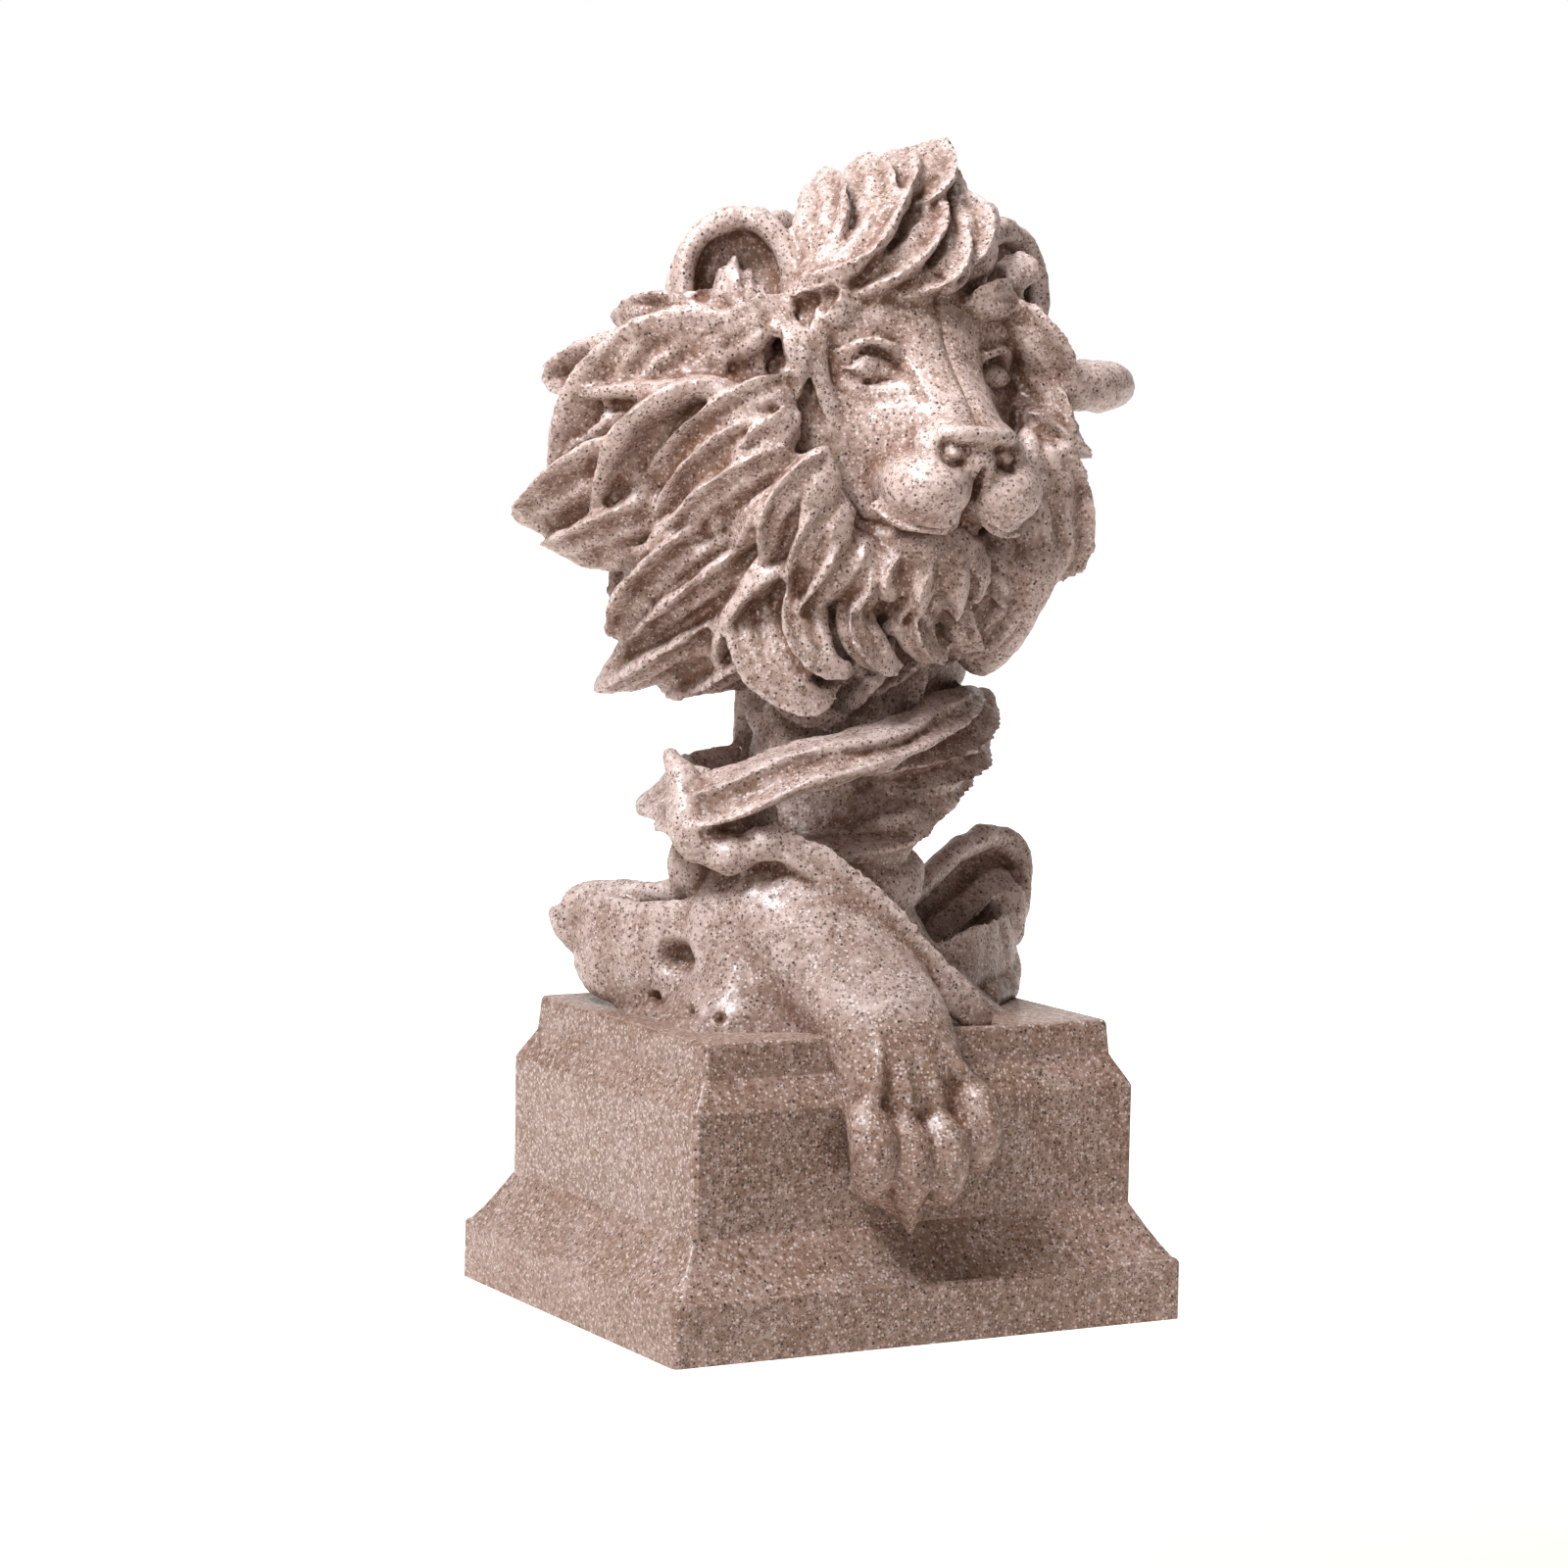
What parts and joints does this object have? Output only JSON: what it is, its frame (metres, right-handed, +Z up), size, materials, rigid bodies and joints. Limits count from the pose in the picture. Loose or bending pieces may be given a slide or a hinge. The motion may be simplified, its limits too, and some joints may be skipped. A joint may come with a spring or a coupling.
{
  "type": "lion head sculpture",
  "caption": "Small desk sculpture of a lion's head with a wind-blown mane, twisted drapery and a foreleg over the front of a moulded plinth.",
  "frame": {"origin": "centre of the plinth's underside", "axes": "+Z up; the lion faces -Y, over the plinth's long front side, and +X is to the viewer's right when the lion is seen from the front"},
  "size_m": [0.0711, 0.0642, 0.134],
  "materials": {
    "sandstone_resin": "cast sandstone resin, pinkish beige with fine dark and pale grains, warm brown in the hollows, soft gloss"
  },
  "bodies": {
    "root": {"lion_head_sculpture": "sandstone_resin"}
  },
  "joints": []
}
